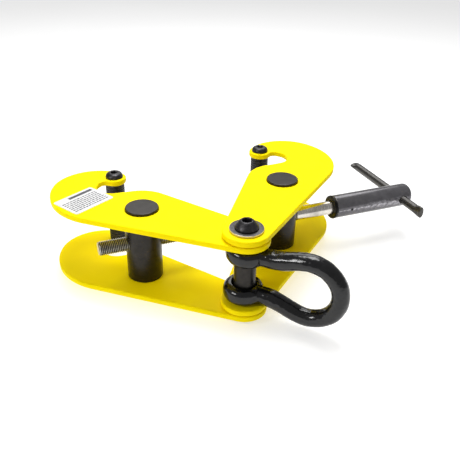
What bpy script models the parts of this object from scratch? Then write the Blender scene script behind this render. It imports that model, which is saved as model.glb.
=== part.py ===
"""Beam clamp with a bow shackle, lying on its side.

Z is the direction of every jaw hinge, X runs along the spindle towards its handle, and +Y from the pivot
to the jaws. The origin is on the pivot axis, at the flat underside of the pivot pin's head.
All sizes are in metres.
"""

import math

import bmesh
import bpy
from mathutils import Matrix, Vector

# Stack of plates along Z, from the pivot pin's head upwards. The right jaw lies one plate above the left.
GAP = 0.0003
PIN_HEAD_T = 0.003
PLATE_T = 0.0065
PLATE_GAP = 0.0012
JAW_SPACE = 0.0800
LEFT_LOWER_Z = PIN_HEAD_T + GAP
RIGHT_LOWER_Z = LEFT_LOWER_Z + PLATE_T + PLATE_GAP
LEFT_UPPER_Z = LEFT_LOWER_Z + PLATE_T + JAW_SPACE
RIGHT_UPPER_Z = LEFT_UPPER_Z + PLATE_T + PLATE_GAP
STACK_TOP = RIGHT_UPPER_Z + PLATE_T

# Jaw plate outline, in the jaw's own plane: u from the pivot to the trunnion, v towards the other jaw.
JAW_ANGLE = math.radians(42.6)
TRUNNION_U = 0.1274
PLATE_TAPER = math.radians(7.8)
PIVOT_END_R = 0.0256
HEEL = Vector((0.180, 0.0257))
CROWN_R = 0.050
TIP = Vector((0.2020, 0.0532))
FINGER_R = 0.014
SLOT = Vector((0.189, 0.031))
SLOT_R = 0.0185
POCKET_R = 0.007
SHOULDER = Vector((0.133, 0.003))

# Round parts
PIN_R = 0.012
PIN_HEAD_R = 0.018
PIN_HOLE_R = PIN_R + GAP
TRUNNION_R = 0.0205
JOURNAL_R = 0.0185
JOURNAL_PROUD = 0.0025
TIP_ROD_R = 0.0115
WASHER_R = 0.0181
WASHER_T = 0.0024
WASHER_HOLE_R = 0.0085

# Socket button-head screws. The length is measured under the head, and the socket across its flats.
# A flank power of 1 gives a round flank, and a higher one a more conical flank.
PIVOT_SCREW = {
    "thread_r": 0.008,
    "length": 0.028,
    "head_r": 0.0127,
    "head_h": 0.0084,
    "crown_r": 0.0062,
    "flank_power": 1.6,
    "socket": 0.0095,
}
TIP_SCREW = {
    "thread_r": 0.006,
    "length": 0.026,
    "head_r": 0.0105,
    "head_h": 0.0060,
    "crown_r": 0.0050,
    "flank_power": 1.0,
    "socket": 0.008,
}
TIP_HOLE_R = TIP_SCREW["thread_r"] + GAP
SCREW_RIM_SHARE = 0.12
SOCKET_FLOOR_SHARE = 0.4
SCREW_END_CHAMFER = 0.001
TAP_EXTRA_DEPTH = 0.002

# Spindle group, along X
SPINDLE_Z = 0.0543
THREAD_R = 0.0083
SHANK_R = 0.0086
SPINDLE_LEFT = -0.1385
SPINDLE_END_CHAMFER = 0.0015
THREAD_RELIEF_HALF = 0.008
THREAD_RELIEF_R = 0.0065
SHANK_START = 0.1070
SHANK_END = 0.2460
SLEEVE_START = 0.1620
SLEEVE_END = 0.2765
SLEEVE_R = 0.0147
SLEEVE_END_FILLET = 0.007
RING_R = 0.0150
RING_T = 0.003
HANDLE_PIN_X = 0.1822
HANDLE_PIN_R = 0.0015
HANDLE_PIN_RECESS = 0.0004
BAR_X = 0.2605
BAR_R = 0.0056
BAR_LENGTH = 0.158
BAR_OFFSET = 0.0265
BAR_END_LENGTH = 0.012
BAR_END_THIN = 0.6
BAR_END_WIDE = 1.35

# Shackle, in its own plane: s away from the pin, w up from the middle. By its play on the pin it droops a little.
SHACKLE_ANGLE = math.radians(-46.5)
SHACKLE_DROOP = math.radians(2.3)
SHACKLE_LIFT = 0.0009
EAR_W = 0.0243
EAR_R = 0.0225
EAR_T = 0.020
EAR_FILLET = 0.008
EAR_HOLE_R = 0.0138
SHACKLE_Z = RIGHT_LOWER_Z + PLATE_T + GAP + EAR_W + EAR_T / 2 + SHACKLE_LIFT
BOW_R = 0.034
BOW_S = 0.0712
LEG_START_S = 0.028
SHACKLE_R = 0.0096

# Label on the left upper plate
LABEL_SIZE = (0.054, 0.041)
LABEL_CENTRE = (-0.1432, 0.1342)
LABEL_TURN = math.radians(30.5)
LABEL_CORNER_R = 0.003
LABEL_T = 0.0003
LABEL_LIFT = 0.00015

# Facets around round parts and along curves, the chamfer of machined edges, and a cutter's reach past a surface
LARGE_SIDES = 44
MEDIUM_SIDES = 32
SMALL_SIDES = 24
TINY_SIDES = 12
HEX_SIDES = 6
SHACKLE_SIDES = 14
CURVE_STEPS = 4
LEG_STEPS = 9
ARC_STEP = math.radians(8)
EDGE_CHAMFER = 0.0008
OVERCUT = 0.01

LEFT_U_ANGLE = math.radians(90) + JAW_ANGLE
RIGHT_U_ANGLE = math.radians(90) - JAW_ANGLE
TRUNNION_X = TRUNNION_U * math.sin(JAW_ANGLE)
TRUNNION_Y = TRUNNION_U * math.cos(JAW_ANGLE)
ALONG_X = Matrix.Rotation(math.radians(90), 4, "Y")
ALONG_Y = Matrix.Rotation(math.radians(-90), 4, "X")


# Scene and materials

def clear_scene():
    for obj in list(bpy.data.objects):
        bpy.data.objects.remove(obj, do_unlink=True)


def material(name, color, roughness, metallic):
    made = bpy.data.materials.new(name)
    made.use_nodes = True
    shader = made.node_tree.nodes["Principled BSDF"]
    shader.inputs["Base Color"].default_value = (*color, 1)
    shader.inputs["Roughness"].default_value = roughness
    shader.inputs["Metallic"].default_value = metallic
    made.diffuse_color = (*color, 1)
    return made


def joint_axis(name, place, parent=None):
    """An empty on a joint's axis, which carries what turns or slides there."""
    empty = bpy.data.objects.new(name, None)
    empty.location = place
    empty.empty_display_size = 0.02
    bpy.context.scene.collection.objects.link(empty)
    if parent:
        empty.parent = parent
        empty.location = Vector(place) - parent.matrix_world.translation
    bpy.context.view_layer.update()
    return empty


def add(name, mesh, finish, parent, place, turn=0.0):
    """A named object of the mesh, at a place in the world, turned about Z, under its joint's empty."""
    mesh.name = name
    mesh.materials.append(finish)
    mesh.shade_smooth()
    mesh.set_sharp_from_angle(angle=math.radians(30))
    obj = bpy.data.objects.new(name, mesh)
    bpy.context.scene.collection.objects.link(obj)
    obj.parent = parent
    obj.location = Vector(place) - parent.matrix_world.translation
    obj.rotation_euler.z = turn
    return obj


def boolean(obj, mesh, operation, label):
    """Cuts the mesh from the object, or joins it. The mesh is given in the object's own coordinates."""
    tool = bpy.data.objects.new(f"{obj.name}_{label}", mesh)
    bpy.context.scene.collection.objects.link(tool)
    tool.parent = obj
    tool.hide_render = True
    tool.display_type = "WIRE"
    modifier = obj.modifiers.new(label, "BOOLEAN")
    modifier.operation = operation
    modifier.solver = "EXACT"
    modifier.object = tool


# Meshes

def finished(bm, matrix=None):
    if matrix:
        bm.transform(matrix)
    bmesh.ops.recalc_face_normals(bm, faces=bm.faces)
    mesh = bpy.data.meshes.new("mesh")
    bm.to_mesh(mesh)
    bm.free()
    return mesh


def turned(profile, segments, matrix=None):
    """A solid of revolution about Z from (radius, z) points. Its first and last points are flat ends."""
    bm = bmesh.new()
    rings = []
    for radius, z in profile:
        ring = []
        for k in range(segments):
            angle = 2 * math.pi * k / segments
            ring.append(bm.verts.new((radius * math.cos(angle), radius * math.sin(angle), z)))
        rings.append(ring)
    for low, high in zip(rings, rings[1:]):
        for k in range(segments):
            n = (k + 1) % segments
            bm.faces.new((low[k], low[n], high[n], high[k]))
    bm.faces.new(rings[0])
    bm.faces.new(rings[-1])
    return finished(bm, matrix)


def rod(radius, low, high, segments, matrix=None):
    return turned([(radius, low), (radius, high)], segments, matrix)


def chamfered_rod(radius, low, high, segments, matrix=None):
    end_r = radius - EDGE_CHAMFER
    profile = [(end_r, low), (radius, low + EDGE_CHAMFER), (radius, high - EDGE_CHAMFER), (end_r, high)]
    return turned(profile, segments, matrix)


def prism(outline, low, high):
    """The solid between two heights over a closed outline of (x, y) points."""
    bm = bmesh.new()
    base = bm.faces.new([bm.verts.new((x, y, low)) for x, y in outline])
    grown = bmesh.ops.extrude_face_region(bm, geom=[base])
    lifted = [v for v in grown["geom"] if isinstance(v, bmesh.types.BMVert)]
    bmesh.ops.translate(bm, verts=lifted, vec=(0, 0, high - low))
    return finished(bm)


def swept(path, radius, sides):
    """A round bar along a path of (x, z) points in the XZ plane."""
    bm = bmesh.new()
    rings = []
    for k, here in enumerate(path):
        before = path[max(k - 1, 0)]
        after = path[min(k + 1, len(path) - 1)]
        along = (after - before).normalized()
        across = Vector((-along.y, along.x))
        ring = []
        for j in range(sides):
            angle = 2 * math.pi * j / sides
            out = across * (radius * math.cos(angle))
            ring.append(bm.verts.new((here.x + out.x, radius * math.sin(angle), here.y + out.y)))
        rings.append(ring)
    for low, high in zip(rings, rings[1:]):
        for j in range(sides):
            n = (j + 1) % sides
            bm.faces.new((low[j], low[n], high[n], high[j]))
    bm.faces.new(rings[0])
    bm.faces.new(rings[-1])
    return finished(bm)


# Plane geometry

def arc(centre, radius, start, end):
    """Points from one angle to another, about one for each ARC_STEP."""
    steps = max(2, math.ceil(abs(end - start) / ARC_STEP))
    angles = [start + (end - start) * k / steps for k in range(steps + 1)]
    return [(centre[0] + radius * math.cos(a), centre[1] + radius * math.sin(a)) for a in angles]


def angle_of(vector):
    return math.atan2(vector[1], vector[0])


def where_circles_meet(first, first_r, second, second_r):
    """The meeting point on the right of the line from the first centre to the second."""
    between = second - first
    distance = between.length
    along = (first_r**2 - second_r**2 + distance**2) / (2 * distance)
    aside = math.sqrt(first_r**2 - along**2)
    ahead = between / distance
    return first + ahead * along + Vector((ahead.y, -ahead.x)) * aside


def jaw_outline():
    """The hooked jaw plate: a tapered arm, a round heel and crown, and a finger over the flange slot."""
    full = 2 * math.pi
    inner = math.radians(90) + PLATE_TAPER
    outer = -inner
    inner_normal = Vector((math.cos(inner), math.sin(inner)))
    outer_normal = Vector((math.cos(outer), math.sin(outer)))
    heel_r = PIVOT_END_R - outer_normal.dot(HEEL)
    shoulder_r = PIVOT_END_R - inner_normal.dot(SHOULDER)
    crown = where_circles_meet(HEEL, heel_r - CROWN_R, TIP, CROWN_R - FINGER_R)
    pocket = where_circles_meet(SLOT, SLOT_R - POCKET_R, TIP, FINGER_R + POCKET_R)
    between = SLOT - SHOULDER
    ramp = angle_of(between) + math.acos((shoulder_r + SLOT_R) / between.length)
    heel_end = angle_of(crown - HEEL)
    crown_end = angle_of(TIP - crown)
    finger_end = angle_of(pocket - TIP) + full
    pocket_end = angle_of(pocket - SLOT)
    outline = arc((0, 0), PIVOT_END_R, inner, outer + full)
    outline += arc(HEEL, heel_r, outer, heel_end)
    outline += arc(crown, CROWN_R, heel_end, crown_end)[1:]
    outline += arc(TIP, FINGER_R, crown_end, finger_end)[1:]
    outline += arc(pocket, POCKET_R, finger_end - math.pi, pocket_end)[1:]
    outline += arc(SLOT, SLOT_R, pocket_end, ramp - math.pi)[1:]
    outline += arc(SHOULDER, shoulder_r, ramp, inner)
    return outline


def in_world(u, v, side):
    """World x and y of a point of a jaw's plane. The side is -1 for the left jaw and 1 for the right."""
    x = u * math.sin(JAW_ANGLE) - v * math.cos(JAW_ANGLE)
    y = u * math.cos(JAW_ANGLE) + v * math.sin(JAW_ANGLE)
    return side * x, y


# Sub-parts

def jaw_plate(name, side, z, finish, axis):
    outline = [(u, side * v) for u, v in jaw_outline()]
    turn = RIGHT_U_ANGLE if side > 0 else LEFT_U_ANGLE
    plate = add(name, prism(outline, 0, PLATE_T), finish, axis, (0, 0, z), turn)
    holes = [
        ("pivot_hole", (0, 0), PIN_HOLE_R, MEDIUM_SIDES),
        ("trunnion_hole", (TRUNNION_U, 0), JOURNAL_R + GAP, LARGE_SIDES),
        ("tip_hole", (TIP.x, side * TIP.y), TIP_HOLE_R, SMALL_SIDES),
    ]
    for label, (u, v), radius, segments in holes:
        hole = rod(radius, -OVERCUT, PLATE_T + OVERCUT, segments, Matrix.Translation((u, v, 0)))
        boolean(plate, hole, "DIFFERENCE", label)
    return plate


def trunnion(name, side, lower_z, finish, axis):
    upper_z = lower_z + PLATE_T + JAW_SPACE
    bottom = lower_z - JOURNAL_PROUD
    top = upper_z + PLATE_T + JOURNAL_PROUD
    profile = [
        (JOURNAL_R - EDGE_CHAMFER, bottom),
        (JOURNAL_R, bottom + EDGE_CHAMFER),
        (JOURNAL_R, lower_z + PLATE_T + GAP),
        (TRUNNION_R, lower_z + PLATE_T + GAP),
        (TRUNNION_R, upper_z - GAP),
        (JOURNAL_R, upper_z - GAP),
        (JOURNAL_R, top - EDGE_CHAMFER),
        (JOURNAL_R - EDGE_CHAMFER, top),
    ]
    body = add(name, turned(profile, LARGE_SIDES), finish, axis, (side * TRUNNION_X, TRUNNION_Y, 0))
    half = TRUNNION_R + OVERCUT
    bore = rod(THREAD_R + GAP, -half, half, SMALL_SIDES, Matrix.Translation((0, 0, SPINDLE_Z)) @ ALONG_X)
    boolean(body, bore, "DIFFERENCE", "spindle_bore")
    return body


def button_screw(name, size, finish, axis, place, upward):
    """A socket button-head screw with the underside of its head at a place. Its head points up or down."""
    thread_r = size["thread_r"]
    head_r = size["head_r"]
    head_h = size["head_h"]
    crown_r = size["crown_r"]
    end = -size["length"]
    rim = SCREW_RIM_SHARE * head_h
    profile = [(thread_r - SCREW_END_CHAMFER, end), (thread_r, end + SCREW_END_CHAMFER)]
    profile += [(thread_r, 0), (head_r, 0)]
    for k in range(CURVE_STEPS + 1):
        angle = math.radians(90) * k / CURVE_STEPS
        outward = math.cos(angle) ** size["flank_power"]
        upward_share = math.sin(angle) ** size["flank_power"]
        profile.append((crown_r + (head_r - crown_r) * outward, rim + (head_h - rim) * upward_share))
    flip = Matrix.Identity(4) if upward else Matrix.Rotation(math.pi, 4, "X")
    screw = add(name, turned(profile, SMALL_SIDES, flip), finish, axis, place)
    socket_r = size["socket"] / math.sqrt(3)
    socket = rod(socket_r, SOCKET_FLOOR_SHARE * head_h, head_h + OVERCUT, HEX_SIDES, flip)
    boolean(screw, socket, "DIFFERENCE", "socket")
    return screw


def tip(side_name, side, lower_z, finish, screw_finish, axis):
    """The rod between a jaw's two fingers, with its screws above and below."""
    x, y = in_world(TIP.x, TIP.y, side)
    low = lower_z + PLATE_T + GAP
    high = lower_z + PLATE_T + JAW_SPACE - GAP
    bar = add(f"{side_name}_tip_rod", chamfered_rod(TIP_ROD_R, low, high, MEDIUM_SIDES), finish, axis, (x, y, 0))
    depth = TIP_SCREW["length"] - PLATE_T + TAP_EXTRA_DEPTH
    boolean(bar, rod(TIP_HOLE_R, low - OVERCUT, low + depth, SMALL_SIDES), "DIFFERENCE", "lower_thread")
    boolean(bar, rod(TIP_HOLE_R, high - depth, high + OVERCUT, SMALL_SIDES), "DIFFERENCE", "upper_thread")
    above = (x, y, lower_z + 2 * PLATE_T + JAW_SPACE + GAP)
    below = (x, y, lower_z - GAP)
    button_screw(f"{side_name}_upper_tip_screw", TIP_SCREW, screw_finish, axis, above, True)
    button_screw(f"{side_name}_lower_tip_screw", TIP_SCREW, screw_finish, axis, below, False)


def pivot(finish, washer_finish, axis):
    profile = [
        (PIN_HEAD_R - EDGE_CHAMFER, 0),
        (PIN_HEAD_R, EDGE_CHAMFER),
        (PIN_HEAD_R, PIN_HEAD_T),
        (PIN_R, PIN_HEAD_T),
        (PIN_R, STACK_TOP),
    ]
    pin = add("pivot_pin", turned(profile, MEDIUM_SIDES), finish, axis, (0, 0, 0))
    depth = PIVOT_SCREW["length"] + TAP_EXTRA_DEPTH
    tapped = rod(PIVOT_SCREW["thread_r"] + GAP, STACK_TOP - depth, STACK_TOP + OVERCUT, SMALL_SIDES)
    boolean(pin, tapped, "DIFFERENCE", "thread")
    washer_z = STACK_TOP + GAP
    washer = add("pivot_washer", rod(WASHER_R, 0, WASHER_T, MEDIUM_SIDES), washer_finish, axis, (0, 0, washer_z))
    boolean(washer, rod(WASHER_HOLE_R, -OVERCUT, OVERCUT, SMALL_SIDES), "DIFFERENCE", "hole")
    head_z = washer_z + WASHER_T + GAP
    button_screw("pivot_screw", PIVOT_SCREW, washer_finish, axis, (0, 0, head_z), True)


def shackle_path():
    """The bow's centre line: a leg that flares out of an ear, the round bow, and the other leg."""
    leg = [Vector((0, EAR_W))]
    for k in range(LEG_STEPS):
        t = k / LEG_STEPS
        flare = t * t * (3 - 2 * t)
        leg.append(Vector((LEG_START_S + (BOW_S - LEG_START_S) * t, EAR_W + (BOW_R - EAR_W) * flare)))
    bow = [Vector(p) for p in arc((BOW_S, 0), BOW_R, math.radians(90), math.radians(-90))]
    other = [Vector((p.x, -p.y)) for p in reversed(leg)]
    return leg + bow + other


def shackle(finish, axis):
    bow = swept(shackle_path(), SHACKLE_R, SHACKLE_SIDES)
    body = add("shackle", bow, finish, axis, (0, 0, SHACKLE_Z), SHACKLE_ANGLE)
    body.rotation_euler.y = SHACKLE_DROOP
    half = EAR_T / 2
    rounded = []
    for k in range(CURVE_STEPS + 1):
        angle = math.radians(90) * k / CURVE_STEPS
        radius = EAR_R - EAR_FILLET + EAR_FILLET * math.sin(angle)
        rounded.append((radius, half - EAR_FILLET + EAR_FILLET * math.cos(angle)))
    profile = [(r, -z) for r, z in rounded] + list(reversed(rounded))
    for label, w in (("upper_ear", EAR_W), ("lower_ear", -EAR_W)):
        boolean(body, turned(profile, MEDIUM_SIDES, Matrix.Translation((0, 0, w))), "UNION", label)
    reach = EAR_W + half + OVERCUT
    boolean(body, rod(EAR_HOLE_R, -reach, reach, MEDIUM_SIDES), "DIFFERENCE", "pin_hole")


def spindle(finish, sleeve_finish, axis):
    centre = (0, TRUNNION_Y, SPINDLE_Z)
    profile = [
        (THREAD_R - SPINDLE_END_CHAMFER, SPINDLE_LEFT),
        (THREAD_R, SPINDLE_LEFT + SPINDLE_END_CHAMFER),
        (THREAD_R, -THREAD_RELIEF_HALF),
        (THREAD_RELIEF_R, -THREAD_RELIEF_HALF + SPINDLE_END_CHAMFER),
        (THREAD_RELIEF_R, THREAD_RELIEF_HALF - SPINDLE_END_CHAMFER),
        (THREAD_R, THREAD_RELIEF_HALF),
        (THREAD_R, SHANK_START),
        (SHANK_R, SHANK_START + SHANK_R - THREAD_R),
        (SHANK_R, SHANK_END),
    ]
    bar = add("spindle", turned(profile, MEDIUM_SIDES, ALONG_X), finish, axis, centre)
    pin_place = Matrix.Translation((HANDLE_PIN_X, 0, 0)) @ ALONG_Y
    hole_r = HANDLE_PIN_R + GAP
    reach = SLEEVE_R + OVERCUT
    boolean(bar, rod(hole_r, -reach, reach, TINY_SIDES, pin_place), "DIFFERENCE", "pin_hole")

    sleeve_profile = [(SLEEVE_R - EDGE_CHAMFER, SLEEVE_START), (SLEEVE_R, SLEEVE_START + EDGE_CHAMFER)]
    for k in range(CURVE_STEPS + 1):
        angle = math.radians(90) * k / CURVE_STEPS
        radius = SLEEVE_R - SLEEVE_END_FILLET * (1 - math.cos(angle))
        sleeve_profile.append((radius, SLEEVE_END - SLEEVE_END_FILLET * (1 - math.sin(angle))))
    sleeve = add("handle_sleeve", turned(sleeve_profile, MEDIUM_SIDES, ALONG_X), sleeve_finish, axis, centre)
    bore = rod(SHANK_R + GAP, SLEEVE_START - OVERCUT, SHANK_END + GAP, MEDIUM_SIDES, ALONG_X)
    boolean(sleeve, bore, "DIFFERENCE", "bore")
    boolean(sleeve, rod(hole_r, -reach, reach, TINY_SIDES, pin_place), "DIFFERENCE", "pin_hole")
    bar_place = Matrix.Translation((BAR_X, 0, 0)) @ ALONG_Y
    boolean(sleeve, rod(BAR_R + GAP, -reach, reach, SMALL_SIDES, bar_place), "DIFFERENCE", "bar_hole")
    pin_half = SLEEVE_R - HANDLE_PIN_RECESS
    handle_pin = rod(HANDLE_PIN_R, -pin_half, pin_half, TINY_SIDES, pin_place)
    add("handle_pin", handle_pin, sleeve_finish, axis, centre)


def thrust_ring(finish, axis):
    start = SLEEVE_START - GAP - RING_T
    ring = chamfered_rod(RING_R, start, start + RING_T, MEDIUM_SIDES, ALONG_X)
    body = add("thrust_washer", ring, finish, axis, (0, TRUNNION_Y, SPINDLE_Z))
    hole = rod(SHANK_R + GAP, start - OVERCUT, start + RING_T + OVERCUT, MEDIUM_SIDES, ALONG_X)
    boolean(body, hole, "DIFFERENCE", "hole")


def tommy_bar(finish, axis):
    """The sliding bar. Its far end is hammered flat from above, and its near end from the sides."""
    half = BAR_LENGTH / 2
    mesh = chamfered_rod(BAR_R, -half, half, SMALL_SIDES, ALONG_Y)
    bm = bmesh.new()
    bm.from_mesh(mesh)
    for station in (half - BAR_END_LENGTH, half - BAR_END_LENGTH / 2):
        for side in (-1, 1):
            everything = bm.verts[:] + bm.edges[:] + bm.faces[:]
            bmesh.ops.bisect_plane(bm, geom=everything, plane_co=(0, side * station, 0), plane_no=(0, 1, 0))
    for vert in bm.verts:
        flat = (abs(vert.co.y) - (half - BAR_END_LENGTH)) / (BAR_END_LENGTH / 2)
        flat = min(max(flat, 0), 1)
        thin = 1 + (BAR_END_THIN - 1) * flat
        wide = 1 + (BAR_END_WIDE - 1) * flat
        far = vert.co.y > 0
        vert.co.x *= wide if far else thin
        vert.co.z *= thin if far else wide
    add("tommy_bar", finished(bm), finish, axis, (BAR_X, TRUNNION_Y + BAR_OFFSET, SPINDLE_Z))


def label(finish, axis):
    half_x = LABEL_SIZE[0] / 2 - LABEL_CORNER_R
    half_y = LABEL_SIZE[1] / 2 - LABEL_CORNER_R
    outline = []
    for quarter, (sx, sy) in enumerate(((1, 1), (-1, 1), (-1, -1), (1, -1))):
        start = math.radians(90) * quarter
        outline += arc((sx * half_x, sy * half_y), LABEL_CORNER_R, start, start + math.radians(90))
    z = LEFT_UPPER_Z + PLATE_T + LABEL_LIFT
    add("rating_label", prism(outline, 0, LABEL_T), finish, axis, (*LABEL_CENTRE, z), LABEL_TURN)


def build():
    clear_scene()
    yellow = material("yellow_paint", (0.90, 0.72, 0.01), 0.35, 0.0)
    grey_steel = material("dark_steel", (0.10, 0.10, 0.11), 0.42, 0.9)
    bare_steel = material("bare_steel", (0.55, 0.54, 0.52), 0.25, 1.0)
    black = material("black_paint", (0.012, 0.012, 0.014), 0.22, 0.0)
    black_oxide = material("black_oxide", (0.05, 0.05, 0.055), 0.38, 0.8)
    white = material("label_white", (0.85, 0.85, 0.84), 0.5, 0.0)

    pivot_axis = joint_axis("pivot_axis", (0, 0, 0))
    left_jaw = joint_axis("left_jaw_axis", (0, 0, 0), pivot_axis)
    right_jaw = joint_axis("right_jaw_axis", (0, 0, 0), pivot_axis)
    shackle_axis = joint_axis("shackle_axis", (0, 0, 0), pivot_axis)
    left_block = joint_axis("left_trunnion_axis", (-TRUNNION_X, TRUNNION_Y, 0), left_jaw)
    right_block = joint_axis("right_trunnion_axis", (TRUNNION_X, TRUNNION_Y, 0), right_jaw)
    spindle_axis = joint_axis("spindle_axis", (0, TRUNNION_Y, SPINDLE_Z), left_block)
    bar_axis = joint_axis("tommy_bar_axis", (BAR_X, TRUNNION_Y, SPINDLE_Z), spindle_axis)

    jaw_plate("left_lower_plate", -1, LEFT_LOWER_Z, yellow, left_jaw)
    jaw_plate("left_upper_plate", -1, LEFT_UPPER_Z, yellow, left_jaw)
    jaw_plate("right_lower_plate", 1, RIGHT_LOWER_Z, yellow, right_jaw)
    jaw_plate("right_upper_plate", 1, RIGHT_UPPER_Z, yellow, right_jaw)
    tip("left", -1, LEFT_LOWER_Z, black_oxide, black_oxide, left_jaw)
    tip("right", 1, RIGHT_LOWER_Z, black_oxide, black_oxide, right_jaw)
    trunnion("left_trunnion", -1, LEFT_LOWER_Z, grey_steel, left_block)
    trunnion("right_trunnion", 1, RIGHT_LOWER_Z, grey_steel, right_block)
    pivot(grey_steel, black_oxide, pivot_axis)
    shackle(black, shackle_axis)
    spindle(bare_steel, grey_steel, spindle_axis)
    thrust_ring(black_oxide, spindle_axis)
    tommy_bar(grey_steel, bar_axis)
    label(white, left_jaw)


build()
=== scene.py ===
"""The finished look of a beam clamp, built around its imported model.

Places come from the boxes of the CAD nodes. Shapes are given in metres, Z up, in the frame of the CAD model.
The jaws' hinges are parallel to Z, the spindle to X, and the jaws lie towards +Y from the pivot.
"""

import math

import bmesh
import bpy
from mathutils import Matrix, Vector, noise


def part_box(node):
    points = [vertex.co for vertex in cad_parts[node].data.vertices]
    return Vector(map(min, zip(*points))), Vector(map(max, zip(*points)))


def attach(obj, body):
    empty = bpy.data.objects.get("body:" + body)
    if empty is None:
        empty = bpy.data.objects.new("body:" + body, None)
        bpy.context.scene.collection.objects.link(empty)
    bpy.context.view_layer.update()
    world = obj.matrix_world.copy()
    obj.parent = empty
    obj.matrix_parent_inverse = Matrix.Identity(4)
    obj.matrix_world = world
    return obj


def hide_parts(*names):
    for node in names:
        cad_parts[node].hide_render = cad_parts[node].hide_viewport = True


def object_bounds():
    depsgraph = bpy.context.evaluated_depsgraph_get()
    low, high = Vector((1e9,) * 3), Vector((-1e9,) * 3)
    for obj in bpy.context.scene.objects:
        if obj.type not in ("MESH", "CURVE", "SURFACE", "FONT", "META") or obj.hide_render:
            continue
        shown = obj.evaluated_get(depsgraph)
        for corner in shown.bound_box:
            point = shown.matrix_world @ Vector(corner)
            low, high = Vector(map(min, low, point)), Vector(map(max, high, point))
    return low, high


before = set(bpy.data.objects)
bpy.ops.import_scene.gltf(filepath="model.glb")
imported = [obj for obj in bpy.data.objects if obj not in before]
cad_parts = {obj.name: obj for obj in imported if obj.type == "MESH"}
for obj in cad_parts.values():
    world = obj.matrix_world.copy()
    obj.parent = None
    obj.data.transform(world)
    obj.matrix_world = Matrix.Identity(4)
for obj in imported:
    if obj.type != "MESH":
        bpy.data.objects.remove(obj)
CAD_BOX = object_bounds()

# Jaw plate outline, in the jaw's own plane: u from the pivot to the trunnion, v towards the other jaw.
PLATE_TAPER = math.radians(7.8)
PIVOT_END_R = 0.0256
HEEL = Vector((0.180, 0.0257))
CROWN_R = 0.050
FINGER_R = 0.014
SLOT = Vector((0.189, 0.031))
SLOT_R = 0.0185
POCKET_R = 0.007
SHOULDER = Vector((0.133, 0.003))
PLATE_EDGE_R = 0.0012
ARC_STEP = math.radians(2)

# Round parts
PIN_R = 0.012
JOURNAL_R = 0.0185
TRUNNION_R = 0.0205
TIP_ROD_R = 0.0115
RING_PITCH = 0.0034
RING_DEPTH = 0.0007
WASHER_HOLE_R = 0.0085
CLEARANCE = 0.0003
PIN_HEAD_RIM = 0.0008
PIN_SHOULDER_RIM = 0.0003
PIN_TOP_RIM = 0.0006
PIN_LAND = 0.002
WASHER_RIM = 0.0004
WASHER_HOLE_RIM = 0.0003
WASHER_LAND = 0.003

# Trunnions. The mouth is the countersink where the spindle enters.
TRUNNION_RIM = 0.0009
TRUNNION_EDGE = 0.0006
TRUNNION_BORE_REACH = 0.03
TRUNNION_MOUTH = 0.0022
TRUNNION_MOUTH_INSET = 0.002
TRUNNION_MOUTH_SHARES = (0.78, 1.05)

# Tip rods. The points of a groove are (share of the pitch, depth).
ROD_RIM = 0.0006
ROD_PLAIN = 0.0022
ROD_GROOVE = ((0.30, 0), (0.46, RING_DEPTH), (0.62, RING_DEPTH), (0.78, 0))

# Numbers of sides and steps
SMOOTH_SIDES = 96
SLEEVE_SIDES = 128
ROD_SIDES = 72
BORE_SIDES = 64
BAR_SIDES = 48
THREAD_SIDES = 48
DRILL_SIDES = 48
SHACKLE_SIDES = 40
PIN_SIDES = 32
HEX_SIDES = 6
HOLE_STEP = math.radians(4)
LABEL_CORNER_STEP = math.radians(9)
PLATE_EDGE_STEPS = 3
LABEL_EDGE_STEPS = 2
CORNER_STEPS = 4
RING_CORNER_STEPS = 6
EAR_CORNER_STEPS = 8
SLEEVE_CORNER_STEPS = 10
DOME_STEPS = 14
LEG_STEPS = 40
BAR_ROWS = 90
BAR_EDGE_STEPS = 5

QUARTER = math.radians(90)
FULL = 2 * math.pi
SHARP_ANGLE = math.radians(32)
ROUND_OFF = 1e-6

# Socket button-head screws. The socket is measured across its flats.
PIVOT_SCREW = {
    "thread_r": 0.008,
    "head_r": 0.0127,
    "head_h": 0.0084,
    "crown_r": 0.0062,
    "socket": 0.0095,
    "slope": 1.6,
}
TIP_SCREW = {
    "thread_r": 0.006,
    "head_r": 0.0105,
    "head_h": 0.0060,
    "crown_r": 0.0050,
    "socket": 0.008,
    "slope": 1.0,
}
SCREW_END_CHAMFER = 0.001
SCREW_RIM_SHARE = 0.12
SCREW_EDGE = 0.0003
SOCKET_FLOOR_SHARE = 0.38
SOCKET_TOP_SHARE = 1.5
DRILL_TIP_R = 0.0005
DRILL_DEPTH_SHARE = 0.3
DRILL_WIDTH_SHARE = 0.92
DRILL_OVERLAP = 0.0001
SOCKET_MOUTH = 0.0002
SOCKET_MOUTH_DEPTH = 0.0009
# How far each socket is turned, in degrees.
PIVOT_SCREW_TURN = 18
TIP_SCREW_TURNS = {"left_upper": 12, "left_lower": 40, "right_upper": 25, "right_lower": 5}

# Spindle group
THREAD_R = 0.0083
THREAD_DEPTH = 0.0012
THREAD_PITCH = 0.002
THREAD_CHAMFER = 0.0014
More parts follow.
